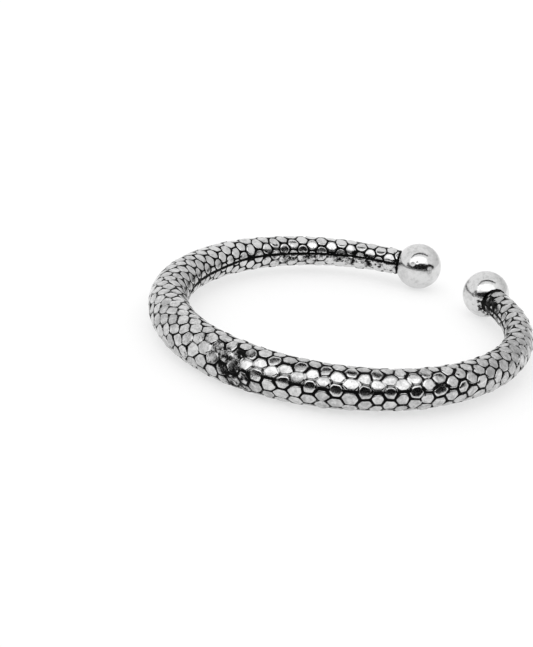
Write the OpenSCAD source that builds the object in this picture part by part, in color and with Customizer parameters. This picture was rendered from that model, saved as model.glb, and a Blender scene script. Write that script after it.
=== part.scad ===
// Open bangle for the ankle: a hollow tube, thick at the front and thinner
// towards its two ends, bent almost to a circle, with a ball on each end.
// Millimetres. The bangle lies on z = 0 with its front towards -Y and its
// mouth towards +Y. It rests on both balls and on the thick front.

/* [Bend] */
// radius of the bend, to the middle of the tube
bend_r = 41; // [30:0.5:60]
// angle from the middle of the front to where the bend stops
bend_half = 153.5; // [120:0.5:160]
// straight run of tube after the bend, at each end
end_run = 3; // [1:0.5:10]

/* [Tube] */
// radius of the tube at the middle of the front
front_r = 5.2; // [3:0.1:8]
// radius of the tube at its two cut ends
mouth_r = 3.2; // [2:0.1:5]
// how the tube thins towards its ends, 1 is evenly along its length
taper = 1.25; // [0.8:0.05:2.5]
// thickness of the stamped sheet
sheet = 0.8; // [0.4:0.1:1.5]

/* [Balls] */
// radius of each ball
ball_r = 5.7; // [4:0.1:8]
// space left between the ball and the inner edge of the cut end
seat_gap = 0.1; // [0.05:0.05:0.3]
// length of the hidden peg inside the tube
peg_len = 4; // [2:0.5:8]
// space left round the peg
peg_gap = 0.15; // [0.1:0.05:0.4]

/* [Fineness] */
// steps along the bend
bend_steps = 60; // [24:2:80]
// sides round the tube, a multiple of four
tube_sides = 32; // [16:4:40]

/* [Hidden] */
silver = [0.74, 0.74, 0.74];
polished = [0.86, 0.86, 0.86];

// lengths along the middle of the tube, from the front to one end
bend_len = bend_r * bend_half * PI / 180;
half_len = bend_len + end_run;

// the ball touches the inner edge of the square-cut end, which leaves a
// narrow V of shadow round the outside of the joint
bore_r = mouth_r - sheet;
seat = sqrt(pow(ball_r + seat_gap, 2) - pow(bore_r, 2));
peg_r = bore_r - peg_gap;
ball_y = -bend_r * cos(bend_half) + (end_run + seat) * sin(bend_half);

// the balls are thicker than the front, so the ring leans a little
rest_tilt = asin((ball_r - front_r) / (ball_y + bend_r));
rest_lift = front_r + bend_r * sin(rest_tilt);

// how far along the tube each cross-section stands, end to end
stations = concat(
    [-half_len],
    [for (i = [0 : bend_steps]) bend_len * (2 * i / bend_steps - 1)],
    [half_len]
);

function turn(s) = sign(s) * min(abs(s), bend_len) / bend_r * 180 / PI;
function past(s) = sign(s) * max(abs(s) - bend_len, 0);
function middle(s) = [
    bend_r * sin(turn(s)) + past(s) * cos(turn(s)),
    -bend_r * cos(turn(s)) + past(s) * sin(turn(s)),
    0
];
function outer_r(s) = mouth_r + (front_r - mouth_r) * (1 - pow(abs(s) / half_len, taper));

// a point of the cross-section: a = 0 is the outer side, a = 90 the top
function on_section(s, r, a) = middle(s)
    + r * cos(a) * [sin(turn(s)), -cos(turn(s)), 0]
    + [0, 0, r * sin(a)];

module at_rest() {
    translate([0, 0, rest_lift])
        rotate([rest_tilt, 0, 0])
            children();
}

// the sheet: an outer skin and an inner skin, joined by a flat rim at each end
module scale_tube() {
    n = len(stations);
    m = tube_sides;
    outer = [for (s = stations) for (j = [0 : m - 1]) on_section(s, outer_r(s), 360 * j / m)];
    inner = [for (s = stations) for (j = [0 : m - 1]) on_section(s, outer_r(s) - sheet, 360 * j / m)];
    k = n * m;
    outer_faces = [for (i = [0 : n - 2]) for (j = [0 : m - 1]) let (
        a = i * m + j,
        b = i * m + (j + 1) % m
    ) each [[a, b, b + m], [a, b + m, a + m]]];
    inner_faces = [for (i = [0 : n - 2]) for (j = [0 : m - 1]) let (
        a = k + i * m + j,
        b = k + i * m + (j + 1) % m
    ) each [[a, b + m, b], [a, a + m, b + m]]];
    first_rim = [for (j = [0 : m - 1]) let (
        a = j,
        b = (j + 1) % m
    ) each [[a, k + a, k + b], [a, k + b, b]]];
    last_rim = [for (j = [0 : m - 1]) let (
        a = (n - 1) * m + j,
        b = (n - 1) * m + (j + 1) % m
    ) each [[a, k + b, k + a], [a, b, k + b]]];
    color(silver)
        at_rest()
            polyhedron(
                points = concat(outer, inner),
                faces = concat(outer_faces, inner_faces, first_rim, last_rim),
                convexity = 8
            );
}

// a ball with its peg, centred on the ball, the peg pointing down
module ball_and_peg() {
    sphere(r = ball_r, $fn = 96);
    translate([0, 0, -seat - peg_len])
        cylinder(r = peg_r, h = seat + peg_len, $fn = 48);
}

// side is -1 for the end on the left and 1 for the end on the right
module ball_end(side) {
    end = middle(side * half_len);
    ahead = side * [cos(bend_half), sin(bend_half) * side, 0];
    at_rest()
        translate(end + seat * ahead)
            rotate([0, 90, side > 0 ? bend_half : 180 - bend_half])
                ball_and_peg();
}

module ball_left() {
    color(polished)
        ball_end(-1);
}

module ball_right() {
    color(polished)
        ball_end(1);
}

scale_tube();
ball_left();
ball_right();
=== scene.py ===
import math
import random

import bmesh
import bpy
from mathutils import Matrix, Vector, noise


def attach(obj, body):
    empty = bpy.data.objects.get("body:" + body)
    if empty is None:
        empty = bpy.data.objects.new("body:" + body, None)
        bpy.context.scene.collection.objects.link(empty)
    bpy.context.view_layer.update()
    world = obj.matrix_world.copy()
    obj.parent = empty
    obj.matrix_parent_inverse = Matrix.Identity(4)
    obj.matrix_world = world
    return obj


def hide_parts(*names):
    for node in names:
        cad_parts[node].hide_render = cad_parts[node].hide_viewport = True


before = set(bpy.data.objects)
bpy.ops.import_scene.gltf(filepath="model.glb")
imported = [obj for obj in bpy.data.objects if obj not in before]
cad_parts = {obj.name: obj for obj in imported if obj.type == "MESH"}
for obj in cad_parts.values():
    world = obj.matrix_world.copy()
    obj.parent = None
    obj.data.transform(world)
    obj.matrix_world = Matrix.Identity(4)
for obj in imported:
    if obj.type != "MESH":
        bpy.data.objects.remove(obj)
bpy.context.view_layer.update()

# sizes of the bangle, in millimetres, the same as in the CAD
MM = 0.001
BEND_R = 41.0
BEND_HALF = math.radians(153.5)
END_RUN = 3.0
FRONT_R = 5.2
MOUTH_R = 3.2
TAPER = 1.25
SHEET = 0.8
BALL_R = 5.7
SEAT_GAP = 0.1
PEG_LEN = 4.0
PEG_GAP = 0.15

BEND_LEN = BEND_R * BEND_HALF
HALF_LEN = BEND_LEN + END_RUN
BORE_R = MOUTH_R - SHEET
SEAT = math.sqrt((BALL_R + SEAT_GAP) ** 2 - BORE_R ** 2)
PEG_R = BORE_R - PEG_GAP
BALL_Y = -BEND_R * math.cos(BEND_HALF) + (END_RUN + SEAT) * math.sin(BEND_HALF)
REST_TILT = math.asin((BALL_R - FRONT_R) / (BALL_Y + BEND_R))
REST_LIFT = FRONT_R + BEND_R * math.sin(REST_TILT)
AT_REST = (
    Matrix.Scale(MM, 4)
    @ Matrix.Translation((0, 0, REST_LIFT))
    @ Matrix.Rotation(REST_TILT, 4, "X")
)

# the stamped pattern on the flat sheet, in millimetres: six-sided scales with
# two corners pointing along the tube
SCALE_SIDE = 1.76
COLUMN_STEP = 1.5 * SCALE_SIDE
ROW_STEP = math.sqrt(3) * SCALE_SIDE
POINTS_PER_SIDE = 4
# the grooves: how deep, half their width, and how much wider each half is on the
# front, on the inner side and away from the front
GROOVE_DEPTH = 0.30
HALF_GROOVE = 0.13
FRONT_EXTRA = 0.09
INNER_EXTRA = 0.03
AWAY_EXTRA = 0.04
# how much narrower each half is where the edge is rubbed away and in the rows that
# shine, and how much it may differ from groove to groove
RUBBED_LESS = 0.07
SHINY_LESS = 0.085
GROOVE_SPREAD = (-0.09, 0.08)
# how far a corner may stray, how much longer a scale is at the sides of the
# bangle, and how far the whole pattern drifts, over what length
CORNER_SHIFT = 0.25
DIAMOND = 0.20
DRIFT = 0.50
DRIFT_LENGTH = 10.0
# the stamp sat a little low on the front
ROW_SHIFT = -0.3
# how sharp the corners of a face are: on the outer side and on the inner side
SHARP_OUTER = 20.0
SHARP_INNER = 6.0
# a face is flatter than the tube it lies on, by this share, out to this far from
# its middle, and domes by this much
FLATNESS = 0.66
FLAT_REACH = 0.95
DOME = 0.025
# the whole surface waves a little: how much, and over what length
SURFACE_WAVE = 0.035
WAVE_LENGTH = 7.0

# across a scale: part of the way from its middle to its edge, part of its
# dome's fall, extra drop at the rounded edge, share of black in the surface
FACE_RINGS = (
    (1.00, 1.00, 0.145, 0.90),
    (0.91, 0.82, 0.055, 0.22),
    (0.82, 0.66, 0.006, 0.04),
    (0.70, 0.48, 0.000, 0.00),
)

# the upper row of the front faces up this far, in radians, at its middle, and
# this much less for each square millimetre away; a face leans this far at most
UPPER_LEVEL = 1.13
UPPER_BEND = 0.0003
MOST_LEAN = 0.14

# the seam on the inner side of the tube, half its angle in radians: its gap,
# its black edge, and a grey edge past that; and how deep the gap is
SEAM_ANGLES = (0.048, 0.080, 0.13)
SEAM_DEPTH = 0.42
# corners of its two edges this close along the tube are one, and corners this
# close to an edge in angle are on it
MEETS = 0.001
TOUCHES = 1e-5
# at the back the tube is a little flat on both sides of the seam, and at the left
# the seam stands a little high: how deep, how far out, and the angle
SEAM_FLAT = 0.50
SEAM_FLAT_REACH = 4.2
SEAM_SWAY = 0.15
# the rim at each mouth is filed round toward the ball and black: how far it
# reaches, how deep it and its edge are, and how close to it counts as on it
RIM_REACH = 0.30
RIM_DEPTH = 0.30
RIM_EDGE_DEPTH = 0.10
ON_RIM = 1e-4
# at the left and the right mouth: how far the rim's black and the grey past it go
END_EDGES = {-1: (0.10, 0.22), 1: (0.15, 0.35)}

# patches of painted shade and dark reflection on the front: along, round, how far, how dark
PAINTED_DARK_PATCHES = (
    (3.8, 4.2, 3.0, 0.68),
    (6.8, 1.0, 3.4, 0.80),
    (8.2, -2.2, 2.8, 0.80),
    (8.6, 4.8, 1.6, 1.00),
    (-1.4, 4.6, 2.0, 0.55),
    (3.2, 1.8, 2.4, 0.60),
    (11.6, 0.0, 2.2, 0.70),
    (9.6, -3.4, 2.4, 0.66),
    (-5.5, -0.8, 1.8, 0.46),
)

# rows along the front painted black as a dark reflection at the scales' edges and faces: how far
# round, how much it rises to the right, from where to where along, how dark
PAINTED_DARK_ROWS = (
    (1.35, 0.70, 6.0, 56.0, 0.80),
    (5.40, 0.00, 8.0, 52.0, 0.60),
)

# nicks in the balls: which ball, then parts of its radius to the right and up
# as the camera sees it, and how wide each is in millimetres
BALL_NICKS = (
    (-1, -0.34, 0.02, 0.75),
    (-1, -0.15, 0.10, 0.40),
    (-1, 0.70, -0.45, 0.60),
    (-1, 0.45, 0.50, 0.45),
    (1, -0.60, -0.10, 0.60),
    (1, -0.25, 0.62, 0.45),
)

# the camera as it stood for the photograph
CAMERA_AZIMUTH = math.radians(-47.644)
CAMERA_HEIGHT = math.radians(22.58)
CAMERA_ROLL = math.radians(6.065)
CAMERA_AWAY = 426.03
LOOKED_AT = Vector((-14.79, -9.98, 0.0))
LENS = 100.0
TO_CAMERA = Vector((
    math.cos(CAMERA_HEIGHT) * math.cos(CAMERA_AZIMUTH),
    math.cos(CAMERA_HEIGHT) * math.sin(CAMERA_AZIMUTH),
    math.sin(CAMERA_HEIGHT),
))

# the softbox and the frame behind it hang this high; how bright the softbox is
HUNG_AT = 250.0
SOFTBOX = 1.6

chance = random.Random(41)

# from here on, s runs along the tube from the middle of the front toward the right
# mouth, and v round it from the outer side up, both in millimetres; the tube faces
# the camera of the photograph at about s = 30


def smooth(t):
    """An even step from 0 to 1."""
    t = min(max(t, 0.0), 1.0)
    return t * t * (3.0 - 2.0 * t)


def rises(value, start, over):
    """From 0 at start to 1 when the value is past it by over."""
    return smooth((value - start) / over)


def falls(value, stop, over):
    """From 1, when the value is short of stop by over, to 0 at stop."""
    return smooth((stop - value) / over)


def near(value, middle, reach, wide):
    """1 about the middle, and 0 from the given number of reaches away."""
    return smooth(wide - abs(value - middle) / reach)


def turn(s):
    """The angle that the bend has turned by at s."""
    return math.copysign(min(abs(s), BEND_LEN), s) / BEND_R


def past(s):
    """How far s is into the straight run after the bend."""
    return math.copysign(max(abs(s) - BEND_LEN, 0.0), s)


def outer_r(s):
    """The radius of the tube at s."""
    share = min(abs(s) / HALF_LEN, 1.02)
    return MOUTH_R + (FRONT_R - MOUTH_R) * (1.0 - share ** TAPER)


def place(s, angle, r):
    """A point of the tube: s along it, angle round it from the outer side up."""
    a = turn(s)
    along = Vector((math.cos(a), math.sin(a), 0.0))
    outward = Vector((math.sin(a), -math.cos(a), 0.0))
    point = BEND_R * outward + past(s) * along
    point += r * math.cos(angle) * outward
    point.z += r * math.sin(angle)
    return AT_REST @ point


def from_seam(s, v):
    """How far a place is from the seam, round the tube."""
    return math.pi * outer_r(s) - abs(v)


def seam_flat(s, v):
    """How much lower than round the tube is beside the seam."""
    across = 1.0 - min(abs(from_seam(s, v)) / SEAM_FLAT_REACH, 1.0) ** 2
    back = rises(abs(s), 55.0, 20.0) * rises(HALF_LEN - abs(s), 3.0, 9.0)
    return SEAM_FLAT * across ** 2 * back


def soot_and_painted_shade(s, v):
    """Black beside the seam and at the right mouth: soot left by the buffing wheel, and at the back
    beside the seam also painted shade and dark reflection.
    """
    mottled = 0.78 + 1.2 * noise.noise(Vector((s / 1.5, v / 1.3, 12.0)))
    gap = from_seam(s, v)
    to_mouth = HALF_LEN - s
    # at the back the black beside the seam is partly soot and partly painted shade and dark
    # reflection
    back = near(s, -90.0, 26.0, 1.3)
    under = near(s, -94.0, 20.0, 1.5)
    mouth = falls(to_mouth, 12.0, 8.0)
    if v < 0:
        beside = 0.7 * falls(gap, 4.4, 3.0) * under + 0.6 * falls(gap, 3.8, 3.0) * mouth
    else:
        beside = 0.75 * falls(gap, 3.4, 2.8) * back + falls(gap, 3.8, 3.0) * mouth
    lip = falls(to_mouth, 0.7, 0.5)
    solder = 0.85 * falls(gap, 3.2, 1.6) * falls(to_mouth, 10.0, 5.0)
    return max(min(0.9 * beside + solder, 1.0) * mottled, lip)


def painted_dark_patch(s, v):
    """Painted black in patches on the front, standing in for shade and dark reflections."""
    amount = 0.0
    for s0, v0, reach, dark in PAINTED_DARK_PATCHES:
        amount = max(amount, dark * near(math.hypot(s - s0, v - v0), 0.0, reach, 1.5))
    patchy = 0.82 + 1.0 * noise.noise(Vector((s, v, 4.0)) / 0.8)
    return amount * min(max(patchy, 0.0), 1.0)


def painted_dark_row(s, v):
    """Painted black along two rows of the front, standing in for dark reflections at the scales'
    edges.
    """
    amount = 0.0
    for row, rise, from_s, to_s, dark in PAINTED_DARK_ROWS:
        row += rise * rises(s, 34.0, 16.0)
        along = rises(s, from_s, 4.0) * falls(s, to_s, 4.0)
        amount = max(amount, dark * along * near(v, row, 0.35, 1.7))
    return amount


def settle(s, v):
    """How freely the pattern may wander: not at all beside the seam."""
    return rises(from_seam(s, v), 2.0, 3.0)


def drawn_out(s):
    """At the sides of the bangle the scales are longer, more like diamonds."""
    away = abs(s - 29.0)
    amount = DIAMOND if s < 29.0 else 0.4 * DIAMOND
    return amount * rises(away, 26.0, 10.0) * falls(away, 92.0, 15.0)


def drifted(s, v):
    """The stamp's own unevenness, a slow drift of the pattern over the sheet."""
    here = Vector((s, v, 0.0)) / DRIFT_LENGTH
    free = DRIFT * settle(s, v)
    ds = free * noise.noise(here)
    dv = free * noise.noise(here + Vector((31.0, 17.0, 5.0)))
    return s + ds, v + dv + ROW_SHIFT * settle(s, v)


class Sheet:
    """The stamped sheet, built flat in s, angle and height, then rolled."""

    def __init__(self):
        self.mesh = bmesh.new()
        self.black = self.mesh.verts.layers.float.new("black")
        self.tone = self.mesh.verts.layers.float.new("tone")
        self.corners = {}
        self.sides = {}
        self.shared = {}

    def corner(self, key):
        """Where a corner of the pattern lies once it has strayed and drifted."""
        if key not in self.corners:
            s, v = key
            reach = CORNER_SHIFT * settle(s, v)
            ds = chance.uniform(-reach, reach)
            dv = chance.uniform(-reach, reach)
            # corners that end a scale toward +s and toward -s move apart
            toward = 1 if round(2 * s / SCALE_SIDE) % 3 == 2 else -1
            ds += toward * drawn_out(s) * settle(s, v)
            s, v = drifted(s, v)
            self.corners[key] = (s + ds, v + dv)
        return self.corners[key]

    def side(self, a, b):
        """The groove between two corners: how rubbed away, its half width, how grey."""
        key = (min(a, b), max(a, b))
        if key not in self.sides:
            s, v = (a[0] + b[0]) / 2, (a[1] + b[1]) / 2
            angle = abs(v) / outer_r(s)
            inner = rises(angle, 1.2, 1.2)
            region = noise.noise(Vector((s / 13, v / 6, 3.0)))
            under = falls(v, 0.0, 2.0) * (1.0 - inner)
            arm = rises(s, 68.0, 12.0)
            # low on the outer sides the table has rubbed it
            low_side = falls(v, -0.2, 1.6) * rises(abs(s - 27.0), 21.0, 9.0)
            low_side *= falls(abs(s), 92.0, 12.0) * (1.0 - inner)
            more = 0.8 * region + 0.24 * under + 0.20 * arm + 0.34 * low_side
            rubbed = rises(chance.random() + more, 0.85, 0.5)
            front = falls(abs(s - 31.0), 33.0, 11.0) * (1.0 - inner)
            # on the front row at v = 1.5 the grooves stay unrubbed, black and wider, as part of the
            # painted dark reflection
            deep = near(v, 1.5, 0.4, 2.0) * front
            rubbed *= chance.uniform(0.4, 1.0) * (1.0 - inner) * (1.0 - deep)
            # away from the front the grooves are fine lines; they are greyer in the rows of the
            # front that shine, on the right arm and low at the back
            away = rises(abs(s - 22.0), 20.0, 20.0) * (1.0 - inner)
            faint = (0.42 if s < 0 else 0.28 + 0.30 * arm) * away
            shiny = falls(abs(s - 22.0), 38.0, 20.0) * rises(v, 1.9, 0.6)
            shiny *= falls(v, 5.4, 0.8) * chance.uniform(0.55, 1.0)
            low = (0.45 + 0.25 * falls(s, -92.0, 6.0)) * falls(s, -74.0, 6.0)
            low *= falls(v, -5.0, 1.5)
            faint = max(faint, 0.82 * shiny, low, 0.60 * low_side, 0.32 * under * front)
            spread = chance.uniform(*GROOVE_SPREAD) * settle(s, v)
            half = HALF_GROOVE + spread + INNER_EXTRA * inner
            half += FRONT_EXTRA * front * (1.0 - 0.45 * under) + 0.05 * deep
            half -= RUBBED_LESS * rubbed * settle(s, v) + SHINY_LESS * shiny - AWAY_EXTRA * away
            self.sides[key] = (rubbed, half, faint)
        return self.sides[key]

    def point(self, s, v, h, black, tone):
        """A vertex of the flat sheet at height h, with its black and its tone."""
        vert = self.mesh.verts.new((s, v / outer_r(s), h))
        vert[self.black] = black
        vert[self.tone] = tone
        return vert

    def scale(self, s0, v0):
        """One scale, from the grooves round it up to its face."""
        free = settle(s0, v0)
        keys = []
        for k in range(6):
            angle = math.radians(60 * k)
            s = s0 + SCALE_SIDE * math.cos(angle)
            v = v0 + SCALE_SIDE * math.sin(angle)
            keys.append((round(s, 2), round(v, 2)))
        moved = [self.corner(key) for key in keys]
        cs = sum(m[0] for m in moved) / 6
        cv = sum(m[1] for m in moved) / 6

        # the faces at the left of the back are a little lighter, those on the right arm a little
        # darker
        tone = chance.random() + 0.9 * falls(s0, -45.0, 20.0)
        tone -= 0.45 * rises(s0, 58.0, 15.0)
        inner = rises(abs(cv) / outer_r(cs), 1.3, 1.3)
        dome = DOME + free * chance.uniform(-0.02, 0.05)
        flat = FLATNESS + free * chance.uniform(-0.25, 0.25)
        # two rows along the front are pressed flatter, and one between them a little
        front = falls(abs(s0 - 29.0), 30.0, 6.0)
        upper = near(v0, 6.1, 0.7, 2.0) * front
        lower = near(v0, 1.5, 0.7, 2.0) * front
        middle = near(v0, 3.05, 0.5, 2.0) * front
        pressed = max(upper, lower, 0.6 * middle)
        flat += pressed * (0.90 - flat) * (0.95 if upper > lower else 0.5)
        dome -= 0.7 * pressed * dome
        flat /= 2.0 * outer_r(s0)
        lean_s = free * chance.gauss(0.0, 0.030)
        # the scales right of the middle of the front stand a little turned
        lean_s += 0.10 * near(s0, 41.5, 7.0, 1.3) * near(v0, 3.0, 3.0, 1.4)
        lean_v = free * chance.gauss(0.0, 0.036) * (1.0 - 0.6 * pressed)
        level = cv / outer_r(cs) - UPPER_LEVEL + UPPER_BEND * (cs - 30.0) ** 2
        level = min(max(level, -MOST_LEAN), MOST_LEAN)
        lean_v += upper * level - 0.005 * lower - 0.03 * middle
        sink = free * chance.uniform(0.0, 0.03)
        # some scales keep specks of oxide all over
        specks = 0.36 * rises(chance.random(), 0.80, 0.2) * (1.0 - inner)
        sharp = SHARP_OUTER + (SHARP_INNER - SHARP_OUTER) * inner

        sides = []
        edges = []
        for k in range(6):
            a, b = moved[k], moved[(k + 1) % 6]
            rubbed, half, faint = self.side(keys[k], keys[(k + 1) % 6])
            run = math.hypot(b[0] - a[0], b[1] - a[1])
            ns, nv = (b[1] - a[1]) / run, (a[0] - b[0]) / run
            sides.append((a, b, rubbed, faint))
            edges.append((ns, nv, (a[0] - cs) * ns + (a[1] - cv) * nv - half))

        rim = []
        outline = []
        for k in range(6):
            a, b, rubbed, faint = sides[k]
            for n in range(POINTS_PER_SIDE):
                t = n / POINTS_PER_SIDE
                s = a[0] + (b[0] - a[0]) * t
                v = a[1] + (b[1] - a[1]) * t
                nearness = max(1.0 - 3.2 * min(t, 1.0 - t), 0.0)
                worn = rubbed * (1.0 - nearness)
                depth = GROOVE_DEPTH * (1.0 - 0.78 * worn)
                ends = (keys[k], keys[(k + 1) % 6])
                key = (min(ends), max(ends), n if ends[0] < ends[1] else POINTS_PER_SIDE - n)
                if n == 0:
                    key = keys[k]
                dark = 1.0 - max(0.9 * worn, faint * (1.0 - 0.5 * nearness))
                if key not in self.shared:
                    self.shared[key] = self.point(s, v, -depth, dark, 0.5)
                rim.append(self.shared[key])
                reach = math.hypot(s - cs, v - cv)
                us, uv = (s - cs) / reach, (v - cv) / reach
                # a soft minimum of the distances to the six sides
                total = 0.0
                for ns, nv, away in edges:
                    total += max((us * ns + uv * nv) / away, 0.0) ** sharp
                face = total ** (-1.0 / sharp)
                outline.append((us, uv, reach, face, depth, dark))

        rings = [rim]
        foot = []
        for us, uv, reach, face, depth, dark in outline:
            length = face + 0.4 * (reach - face)
            foot.append(self.point(cs + us * length, cv + uv * length, -0.93 * depth, dark, tone))
        rings.append(foot)
        for share, fall, drop, black in FACE_RINGS:
            step = 2 if share < 0.9 else 1
            ring = []
            for us, uv, reach, face, depth, dark in outline[::step]:
                ds, dv = us * face * share, uv * face * share
                h = lean_s * ds + lean_v * dv - sink + flat * (dv * dv - FLAT_REACH ** 2)
                h -= min(dome * fall + drop, 0.6 * depth)
                dark = max(black * dark, soot_and_painted_shade(cs + ds, cv + dv), specks)
                # painted shade and dark reflection in patches on the front
                dark = max(dark, painted_dark_patch(cs + ds, cv + dv))
                # painted dark reflection along two rows of the front, full at the scales' edges
                dark = max(dark, (1.0 if share > 0.8 else 0.45) * painted_dark_row(cs + ds, cv + dv))
                ring.append(self.point(cs + ds, cv + dv, h, dark, tone))
            rings.append(ring)
        dark = max(soot_and_painted_shade(cs, cv), specks, painted_dark_patch(cs, cv))
        centre = self.point(cs, cv, -sink - flat * FLAT_REACH ** 2, dark, tone)
        self.fill(rings, centre)

    def fill(self, rings, centre):
        """Faces from the grooves' floor up to the middle of the scale."""
        new_face = self.mesh.faces.new
        for low, high in zip(rings, rings[1:]):
            n = len(low)
            if len(high) == n:
                for k in range(n):
                    m = (k + 1) % n
                    new_face((low[k], low[m], high[m], high[k]))
                continue
            for k in range(len(high)):
                m = (k + 1) % len(high)
                a, b, c = low[2 * k], low[2 * k + 1], low[(2 * k + 2) % n]
                new_face((a, b, high[k]))
                new_face((b, c, high[m]))
                new_face((b, high[m], high[k]))
        last = rings[-1]
        for k in range(len(last)):
            new_face((last[k], last[(k + 1) % len(last)], centre))

    def cut(self, where, normal, trim):
        """Cut the sheet along a plane, and trim off what lies past it if asked to."""
        everything = self.mesh.verts[:] + self.mesh.edges[:] + self.mesh.faces[:]
        bmesh.ops.bisect_plane(
            self.mesh,
            geom=everything,
            dist=1e-6,
            plane_co=where,
            plane_no=normal,
            clear_outer=trim,
        )

    def match_seam(self):
        """Give both edges of the sheet corners at the same places, so they join."""
        ends = {-1: [], 1: []}
        for vert in self.mesh.verts:
            if math.pi - abs(vert.co.y) < TOUCHES:
                ends[1 if vert.co.y > 0 else -1].append(vert)
        for side in (-1, 1):
            own = sorted(ends[side], key=lambda vert: vert.co.x)
            missing = sorted(vert.co.x for vert in ends[-side])
            for low, high in zip(own, own[1:]):
                while missing and missing[0] < high.co.x - MEETS:
                    s = missing.pop(0)
                    edge = self.mesh.edges.get((low, high))
                    if s > low.co.x + MEETS and edge:
                        share = (s - low.co.x) / (high.co.x - low.co.x)
                        low = bmesh.utils.edge_split(edge, low, share)[1]


def stamp_sheet():
    """The whole pattern, trimmed to the edges of the sheet."""
    sheet = Sheet()
    columns = math.ceil(HALF_LEN / COLUMN_STEP) + 1
    rows = math.ceil(math.pi * FRONT_R / ROW_STEP) + 1
    for i in range(-columns, columns + 1):
        for j in range(-rows, rows + 1):
            s = i * COLUMN_STEP
            v = (j + 0.5 * (i % 2)) * ROW_STEP
            if abs(s) > HALF_LEN + SCALE_SIDE:
                continue
            if from_seam(s, v) < -1.3 * SCALE_SIDE:
                continue
            sheet.scale(s, v)
    for side in (-1, 1):
        sheet.cut((0, side * math.pi, 0), (0, side, 0), True)
        sheet.cut((side * HALF_LEN, 0, 0), (side, 0, 0), True)
        for edge in END_EDGES[side]:
            sheet.cut((side * (HALF_LEN - edge), 0, 0), (side, 0, 0), False)
        for angle in SEAM_ANGLES:
            sheet.cut((0, side * (math.pi - angle), 0), (0, side, 0), False)
    sheet.match_seam()
    return sheet


def roll_sheet(sheet):
    """Bend the flat pattern round the tube and join it along the seam."""
    mesh, black, tone = sheet.mesh, sheet.black, sheet.tone
    gap_angle, edge_angle, wide_angle = SEAM_ANGLES
    on_seam = []
    end_verts = {-1: set(), 1: set()}
    for vert in mesh.verts:
        s, angle, h = vert.co
        gap = math.pi - abs(angle)
        end = rises(abs(s) / HALF_LEN, 0.6, 0.3)
        if gap < TOUCHES:
            h = -SEAM_DEPTH
            vert[black] = 1.0
            on_seam.append(vert)
        elif gap < gap_angle + TOUCHES:
            h = min(h, -0.28 - 0.08 * end)
            vert[black] = 1.0
        elif gap < edge_angle + TOUCHES:
            h = min(h, -0.05 - 0.15 * end)
            vert[black] = max(vert[black], 0.7 + 0.2 * end)
        elif gap < wide_angle + TOUCHES:
            h = min(h, -0.01 - 0.08 * end)
            vert[black] = max(vert[black], 0.25 + 0.2 * end)
        to_end = HALF_LEN - abs(s)
        mouth = 1 if s > 0 else -1
        v = angle * outer_r(s)
        if to_end < ON_RIM:
            h = -RIM_DEPTH
            s += mouth * RIM_REACH
            vert[black] = 1.0
            end_verts[mouth].add(vert)
        elif to_end < END_EDGES[mouth][0] + ON_RIM:
            h = min(h, -RIM_EDGE_DEPTH)
            vert[black] = max(vert[black], 0.6 + 0.2 * mouth)
        elif to_end < END_EDGES[mouth][1] + ON_RIM:
            vert[black] = max(vert[black], 0.30 + 0.2 * mouth)
        swell = noise.noise(Vector((s, v, 9.0)) / WAVE_LENGTH)
        h += SURFACE_WAVE * swell * min(rises(gap, 0.0, 0.6), rises(to_end, 0.0, 3.0))
        angle -= SEAM_SWAY * falls(s, -58.0, 15.0)
        vert.co = place(s, angle, outer_r(s) + h - seam_flat(s, angle * outer_r(s)))
    bmesh.ops.remove_doubles(mesh, verts=on_seam, dist=2e-6)
    return end_verts


def close_wall(sheet, end_verts):
    """Add the smooth inner side of the tube and join it to the sheet at the mouths."""
    mesh, black, tone = sheet.mesh, sheet.black, sheet.tone
    sides = 24
    stations = 96
    inner = []
    for i in range(stations + 1):
        s = HALF_LEN * (2 * i / stations - 1)
        ring = []
        for j in range(sides):
            angle = math.pi * (2 * j / sides - 1)
            r = outer_r(s) - SHEET - seam_flat(s, angle * outer_r(s))
            vert = mesh.verts.new(place(s, angle, r))
            vert[black] = 1.0
            vert[tone] = 0.5
            ring.append(vert)
        inner.append(ring)
    for a, b in zip(inner, inner[1:]):
        for j in range(sides):
            k = (j + 1) % sides
            mesh.faces.new((a[j], b[j], b[k], a[k]))
    mesh.edges.ensure_lookup_table()
    for side, ring in ((-1, inner[0]), (1, inner[-1])):
        bore = set(ring)
        outer = end_verts[side]
        loops = []
        for edge in mesh.edges:
            if not edge.is_boundary:
                continue
            ends = set(edge.verts)
            alive = all(v.is_valid for v in ends)
            if alive and (ends <= bore or all(v in outer for v in ends)):
                loops.append(edge)
        for edge in loops:
            edge.smooth = False
        bmesh.ops.bridge_loops(mesh, edges=loops)
    bmesh.ops.recalc_face_normals(mesh, faces=mesh.faces[:])


def to_object(mesh, name, material):
    data = bpy.data.meshes.new(name)
    mesh.to_mesh(data)
    mesh.free()
    data.materials.append(material)
    data.shade_smooth()
    piece = bpy.data.objects.new(name, data)
    bpy.context.scene.collection.objects.link(piece)
    return piece


def ball_centre(side):
    """The middle of a ball in the bend's own plane, and the ways along and outward."""
    end_turn = turn(side * HALF_LEN)
    along = side * Vector((math.cos(end_turn), math.sin(end_turn), 0.0))
    outward = Vector((math.sin(end_turn), -math.cos(end_turn), 0.0))
    return BEND_R * outward + (END_RUN + SEAT) * along, along, outward


def joint_shadow_and_patch(side, along, inward, up):
    """Black on a ball at the joint, in directions from its middle: a thin ring of painted contact
    shadow, and on the right ball a ragged patch low on its inner side.
    """
    round_joint = math.degrees(math.acos(min(-along, 1.0)))
    spot = Vector((along, inward, up))
    ragged = 12.0 * noise.noise(spot * 5.0) + 9.0 * noise.noise(spot * 13.0)
    # a thin ring of painted contact shadow where the ball meets the tube
    line = falls(round_joint, 36.5, 1.0)
    if side < 0:
        return line
    toward = rises(inward - 0.9 * up, 0.15, 0.45)
    return max(line, 0.66 * toward * falls(round_joint, 60.0 + ragged, 22.0))


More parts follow.
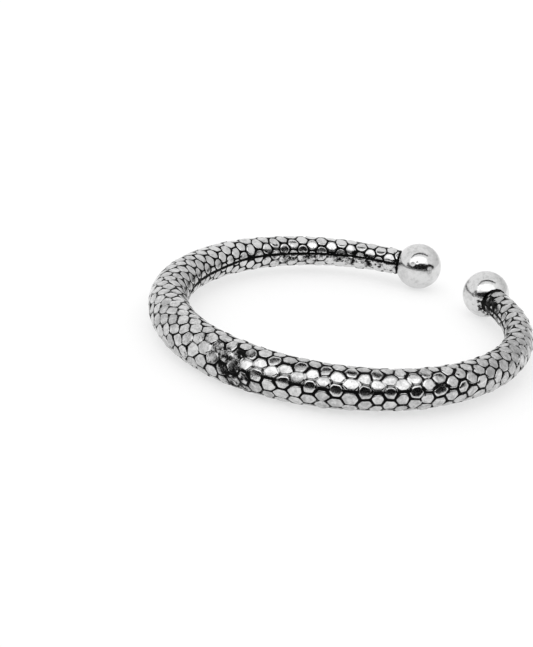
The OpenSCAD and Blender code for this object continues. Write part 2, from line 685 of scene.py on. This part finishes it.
def turned_ball(side):
    """A ball with its peg, turned about the line of the tube's end."""
    profile = [(-SEAT - PEG_LEN, 0.0), (-SEAT - PEG_LEN, PEG_R)]
    root = math.asin(PEG_R / BALL_R)
    profile.append((-BALL_R * math.cos(root), PEG_R))
    steps = 60
    for i in range(1, steps):
        a = root + (math.pi - root) * i / steps
        profile.append((-BALL_R * math.cos(a), BALL_R * math.sin(a)))
    profile.append((BALL_R, 0.0))
    sides = 96
    centre, along, outward = ball_centre(side)
    up = Vector((0.0, 0.0, 1.0))
    mesh = bmesh.new()
    black = mesh.verts.layers.float.new("black")
    rings = []
    for x, r in profile:
        ring = []
        for j in range(sides if r > 0.0 else 1):
            a = 2 * math.pi * j / sides
            out = math.cos(a) * outward + math.sin(a) * up
            vert = mesh.verts.new(AT_REST @ (centre + x * along + r * out))
            height = r / BALL_R
            vert[black] = joint_shadow_and_patch(side, x / BALL_R, -height * math.cos(a), height * math.sin(a))
            ring.append(vert)
        rings.append(ring)
    for a, b in zip(rings, rings[1:]):
        for j in range(sides):
            k = (j + 1) % sides
            loop = [a[j % len(a)], a[k % len(a)], b[k % len(b)], b[j % len(b)]]
            mesh.faces.new(list(dict.fromkeys(loop)))
    bmesh.ops.recalc_face_normals(mesh, faces=mesh.faces[:])
    for edge in mesh.edges:
        if edge.calc_face_angle(0.0) > math.radians(35):
            edge.smooth = False
    return mesh


def linear(code):
    """An sRGB colour written as #rrggbb, as the linear colour a shader takes."""
    values = []
    for k in (1, 3, 5):
        c = int(code[k:k + 2], 16) / 255
        values.append(c / 12.92 if c <= 0.04045 else ((c + 0.055) / 1.055) ** 2.4)
    return (*values, 1.0)


def add(tree, kind, settings=None, **links):
    """A node with its settings; each link or value goes to the socket it names."""
    node = tree.nodes.new(kind)
    for name, value in (settings or {}).items():
        setattr(node, name, value)
    for name, value in links.items():
        numbered = name[0] == "i" and name[1:].isdigit()
        socket = node.inputs[int(name[1:]) if numbered else name.replace("_", " ")]
        if isinstance(value, bpy.types.NodeSocket):
            tree.links.new(value, socket)
        else:
            socket.default_value = value
    return node


def new_material(name):
    material = bpy.data.materials.new(name)
    material.use_nodes = True
    material.node_tree.nodes.clear()
    return material, material.node_tree


def polished_silver_ball():
    # sterling silver, spun and buffed to a mirror: the eye sees the studio in it, broken only by
    # hairline buffing marks, a few nicks and black at the joint, partly painted contact shadow
    material, tree = new_material("buffed_silver_balls")
    where = add(tree, "ShaderNodeTexCoord").outputs["Object"]
    # buffing marks about 0.2 mm apart and 2 mm long
    stretched = add(tree, "ShaderNodeMapping", Vector=where, Scale=(500.0, 5000.0, 2500.0))
    hair = add(tree, "ShaderNodeTexNoise", Vector=stretched.outputs["Vector"], Scale=1.0, Detail=3.0)
    # the surface wavers a little between soft spots about 4 mm apart
    dings = add(tree, "ShaderNodeTexNoise", Vector=where, Scale=260.0, Detail=2.0)
    # and has a few nicks: where each lies and how wide it is
    nicks = None
    rightward = Vector((0.0, 0.0, 1.0)).cross(TO_CAMERA).normalized()
    upward = TO_CAMERA.cross(rightward)
    for side, right, up, wide in BALL_NICKS:
        toward = math.sqrt(1.0 - right ** 2 - up ** 2)
        nick = BALL_R * (right * rightward + up * upward + toward * TO_CAMERA)
        nick = AT_REST @ ball_centre(side)[0] + MM * nick
        away = add(
            tree, "ShaderNodeVectorMath", {"operation": "DISTANCE"}, i0=where, i1=nick,
        ).outputs["Value"]
        dent = add(
            tree, "ShaderNodeMapRange", {"interpolation_type": "SMOOTHSTEP"},
            Value=away, i1=0.15 * wide * MM, i2=wide * MM,
        ).outputs["Result"]
        nicks = dent if nicks is None else add(
            tree, "ShaderNodeMath", {"operation": "MULTIPLY"}, i0=nicks, i1=dent,
        ).outputs[0]
    rough = add(
        tree, "ShaderNodeMapRange", Value=hair.outputs["Fac"],
        i1=0.35, i2=0.75, i3=0.10, i4=0.20,
    )
    fine = add(tree, "ShaderNodeBump", Height=hair.outputs["Fac"], Strength=0.05, Distance=0.00004)
    soft = add(
        tree, "ShaderNodeBump", Height=dings.outputs["Fac"], Normal=fine.outputs["Normal"],
        Strength=0.6, Distance=0.00006,
    )
    bump = add(
        tree, "ShaderNodeBump", Height=nicks, Normal=soft.outputs["Normal"],
        Strength=0.7, Distance=0.00006,
    )
    # the black at the joint, painted contact shadow and a patch, ragged at its edge
    black = add(tree, "ShaderNodeAttribute", {"attribute_name": "black"}).outputs["Fac"]
    smoke = add(tree, "ShaderNodeTexNoise", Vector=where, Scale=1500.0, Detail=4.0)
    worn = add(
        tree, "ShaderNodeMath", {"operation": "MULTIPLY_ADD"},
        i0=smoke.outputs["Fac"], i1=1.8, i2=-0.9,
    )
    edge = add(tree, "ShaderNodeMath", {"operation": "ADD"}, i0=black, i1=worn.outputs[0])
    oxide_and_painted_shade = add(
        tree, "ShaderNodeMapRange", {"interpolation_type": "SMOOTHSTEP"},
        Value=edge.outputs[0], i1=0.35, i2=0.75,
    ).outputs["Result"]
    # finger marks have dulled the polish in clouds about 1.4 mm across
    marks = add(tree, "ShaderNodeTexNoise", Vector=where, Scale=700.0, Detail=5.0, Roughness=0.6)
    dulled = add(
        tree, "ShaderNodeMapRange", {"interpolation_type": "SMOOTHSTEP"},
        Value=marks.outputs["Fac"], i1=0.42, i2=0.72,
    ).outputs["Result"]
    polish = add(
        tree, "ShaderNodeMix", {"data_type": "RGBA"},
        i0=dulled, i6=linear("#dadada"), i7=linear("#c6c6c6"),
    ).outputs[2]
    colour = add(
        tree, "ShaderNodeMix", {"data_type": "RGBA"},
        i0=oxide_and_painted_shade, i6=polish, i7=linear("#181818"),
    ).outputs[2]
    shader = add(
        tree, "ShaderNodeBsdfPrincipled",
        Base_Color=colour, Metallic=1.0, Roughness=rough.outputs["Result"],
        Normal=bump.outputs["Normal"],
    )
    add(tree, "ShaderNodeOutputMaterial", Surface=shader.outputs["BSDF"])
    return material


def stamped_silver_sheet():
    # silver sheet stamped with scales, blackened with sulphide and rubbed
    # back: the grooves stay sooty black and the scale faces shine
    material, tree = new_material("stamped_oxidised_silver")
    where = add(tree, "ShaderNodeTexCoord").outputs["Object"]
    # black holds the oxide and soot, and also painted shade and dark reflections
    black = add(tree, "ShaderNodeAttribute", {"attribute_name": "black"}).outputs["Fac"]
    tone = add(tree, "ShaderNodeAttribute", {"attribute_name": "tone"}).outputs["Fac"]
    # patches of oxide left by the rubbing cloth, about 0.4 mm across
    patch = add(tree, "ShaderNodeTexNoise", Vector=where, Scale=2500.0, Detail=4.0)
    worn = add(
        tree, "ShaderNodeMath", {"operation": "MULTIPLY_ADD"},
        i0=patch.outputs["Fac"], i1=0.9, i2=-0.45,
    )
    edge = add(tree, "ShaderNodeMath", {"operation": "ADD"}, i0=black, i1=worn.outputs[0])
    oxide_and_painted_shade = add(
        tree, "ShaderNodeMapRange", {"interpolation_type": "SMOOTHSTEP"},
        Value=edge.outputs[0], i1=0.30, i2=0.72, i3=0.0, i4=1.0,
    ).outputs["Result"]
    # the faces differ a little, and each is cloudy, with clouds 1.2 mm across
    clouds = add(tree, "ShaderNodeTexNoise", Vector=where, Scale=800.0, Detail=5.0, Roughness=0.7)
    cloudy = add(
        tree, "ShaderNodeMapRange", Value=clouds.outputs["Fac"], i1=0.3, i2=0.7, i3=-0.5, i4=1.0,
    ).outputs["Result"]
    shade = add(
        tree, "ShaderNodeMath", {"operation": "MULTIPLY_ADD"}, i0=tone, i1=0.5, i2=cloudy,
    ).outputs[0]
    face = add(
        tree, "ShaderNodeMix", {"data_type": "RGBA"},
        i0=shade, i6=linear("#a8a8a8"), i7=linear("#dadada"),
    ).outputs[2]
    colour = add(
        tree, "ShaderNodeMix", {"data_type": "RGBA"},
        i0=oxide_and_painted_shade, i6=face, i7=linear("#141414"),
    ).outputs[2]
    # faint planishing on the faces, about 0.3 mm apart
    grain = add(tree, "ShaderNodeTexNoise", Vector=where, Scale=3500.0, Detail=3.0)
    shine = add(
        tree, "ShaderNodeMapRange", Value=grain.outputs["Fac"],
        i1=0.3, i2=0.75, i3=0.08, i4=0.17,
    ).outputs["Result"]
    rough = add(
        tree, "ShaderNodeMix", {"data_type": "FLOAT"}, i0=oxide_and_painted_shade, i2=shine, i3=0.5,
    ).outputs[0]
    bump = add(
        tree, "ShaderNodeBump", Height=grain.outputs["Fac"], Strength=0.14, Distance=0.00003,
    )
    shader = add(
        tree, "ShaderNodeBsdfPrincipled",
        Base_Color=colour, Metallic=1.0, Roughness=rough, Normal=bump.outputs["Normal"],
    )
    add(tree, "ShaderNodeOutputMaterial", Surface=shader.outputs["BSDF"])
    return material


sheet = stamp_sheet()
close_wall(sheet, roll_sheet(sheet))
tube = to_object(sheet.mesh, "stamped_tube", stamped_silver_sheet())
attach(tube, "root")
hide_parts("scale_tube")

ball_silver = polished_silver_ball()
for side, name in ((-1, "left"), (1, "right")):
    ball = to_object(turned_ball(side), "end_ball_" + name, ball_silver)
    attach(ball, "root")
    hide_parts("ball_" + name)


def white_floor():
    mesh = bmesh.new()
    bmesh.ops.create_grid(mesh, x_segments=1, y_segments=1, size=3.0)
    material, tree = new_material("white_paper_floor")
    shader = add(
        tree, "ShaderNodeBsdfPrincipled",
        Base_Color=linear("#a8a8a8"), Roughness=0.9, Specular_IOR_Level=0.2,
        Emission_Color=linear("#ffffff"), Emission_Strength=0.60,
    )
    add(tree, "ShaderNodeOutputMaterial", Surface=shader.outputs["BSDF"])
    floor = to_object(mesh, "floor", material)


def hung(name, corners, level):
    """A flat sheet over the bangle, seen in the metal: toward the camera and right."""
    material, tree = new_material(name)
    glow = add(tree, "ShaderNodeEmission", Color=(1, 1, 1, 1), Strength=level)
    add(tree, "ShaderNodeOutputMaterial", Surface=glow.outputs["Emission"])
    mesh = bmesh.new()
    turned = Matrix.Rotation(CAMERA_AZIMUTH, 4, "Z")
    verts = [mesh.verts.new(turned @ Vector((x, y, HUNG_AT)) * MM) for x, y in corners]
    mesh.faces.new(verts)
    piece = to_object(mesh, name, material)
    piece.visible_camera = False
    piece.visible_diffuse = False
    piece.visible_shadow = False


def studio():
    """A light tent seen only in the metal: pale walls, one softbox, a dark slot."""
    world = bpy.data.worlds.new("light_tent")
    world.use_nodes = True
    tree = world.node_tree
    tree.nodes.clear()
    way = add(tree, "ShaderNodeTexCoord").outputs["Generated"]
    turned = add(
        tree, "ShaderNodeVectorRotate", {"rotation_type": "Z_AXIS"},
        Vector=way, Angle=-CAMERA_AZIMUTH,
    ).outputs["Vector"]
    parts = add(tree, "ShaderNodeSeparateXYZ", Vector=turned).outputs
    # height is the pitch over the object from the camera's side, 90 overhead;
    # across is the angle to the right of the camera's own upright plane
    height = add(
        tree, "ShaderNodeMath", {"operation": "ARCTAN2"}, i0=parts["Z"], i1=parts["X"],
    ).outputs[0]
    across = add(tree, "ShaderNodeMath", {"operation": "ARCSINE"}, i0=parts["Y"]).outputs[0]

    def ramp(value, start, stop):
        return add(
            tree, "ShaderNodeMapRange", {"interpolation_type": "SMOOTHSTEP"},
            Value=value, i1=math.radians(start), i2=math.radians(stop),
        ).outputs["Result"]

    def times(a, b):
        return add(tree, "ShaderNodeMath", {"operation": "MULTIPLY"}, i0=a, i1=b).outputs[0]

    def plus(value, other, share):
        return add(
            tree, "ShaderNodeMath", {"operation": "MULTIPLY_ADD"}, i0=other, i1=share, i2=value,
        ).outputs[0]

    def panel(left, right, low, high, soft, rise=0.0, leans=(0.0, 0.0)):
        """A patch of the tent; its top may rise to the right and its sides lean in."""
        raised = plus(height, across, -rise)
        near_left = plus(across, height, -leans[0])
        near_right = plus(across, height, leans[1])
        sides = times(
            ramp(near_left, left - soft, left + soft),
            ramp(near_right, right + 1.5 * soft, right - 1.5 * soft),
        )
        ends = times(ramp(height, low - soft, low + soft), ramp(raised, high + soft, high - soft))
        return times(sides, ends)

    def over(base, mask, level):
        return add(
            tree, "ShaderNodeMix", {"data_type": "FLOAT"}, i0=mask, i2=base, i3=level,
        ).outputs[0]

    level = over(1.0, panel(-66, 80, -10, 33, 2.0, rise=0.20), 0.008)
    level = over(level, panel(-66, -51, -10, 42, 3.0), 0.12)
    level = over(level, panel(-62, 61, 36, 71, 2.0, leans=(0.24, 0.48)), SOFTBOX)
    # the tent is a little darker on the right, behind the bangle
    behind = add(
        tree, "ShaderNodeVectorMath", {"operation": "DOT_PRODUCT"},
        i0=turned, i1=(-0.57, 0.82, 0.0),
    ).outputs["Value"]
    shade = add(
        tree, "ShaderNodeMapRange", {"interpolation_type": "SMOOTHSTEP"},
        Value=behind, i1=0.45, i2=0.95,
    ).outputs["Result"]
    level = times(level, plus(1.0, shade, -0.26))
    # the camera itself sees only white
    seen = add(tree, "ShaderNodeLightPath").outputs["Is Camera Ray"]
    level = over(level, seen, 1.0)
    background = add(tree, "ShaderNodeBackground", Color=(1, 1, 1, 1), Strength=level)
    add(tree, "ShaderNodeOutputWorld", Surface=background.outputs["Background"])
    bpy.context.scene.world = world

    # close overhead: the top of the softbox, and the dark frame behind it
    hung("softbox_top", ((52, -190), (52, 150), (170, 190), (170, -290)), SOFTBOX)
    hung(
        "dark_frame",
        (
            (80, -216), (10, -106), (-8, -40), (-9, 20), (-9, 100), (-8, 186),
            (-42, 186), (-46, 100), (-46, 20), (-43, -40), (-24, -106), (46, -216),
        ),
        0.0,
    )

    # a wide soft lamp overhead that lights the paper and isn't mirrored
    lamp_data = bpy.data.lights.new("overhead_softbox", "SUN")
    lamp_data.energy = 0.25
    lamp_data.angle = math.radians(60)
    lamp = bpy.data.objects.new("overhead_softbox", lamp_data)
    lamp.rotation_euler = (math.radians(12), math.radians(-18), 0)
    lamp.visible_glossy = False
    bpy.context.scene.collection.objects.link(lamp)


def photo_camera():
    data = bpy.data.cameras.new("camera")
    data.sensor_fit = "VERTICAL"
    data.sensor_height = 36.0
    data.lens = LENS
    data.clip_start = 0.01
    camera = bpy.data.objects.new("camera", data)
    bpy.context.scene.collection.objects.link(camera)
    facing = TO_CAMERA.to_track_quat("Z", "Y").to_matrix().to_4x4()
    camera.matrix_world = (
        Matrix.Translation((LOOKED_AT + CAMERA_AWAY * TO_CAMERA) * MM)
        @ facing
        @ Matrix.Rotation(CAMERA_ROLL, 4, "Z")
    )
    bpy.context.scene.camera = camera


white_floor()
studio()
photo_camera()
bpy.context.scene.view_settings.view_transform = "Standard"
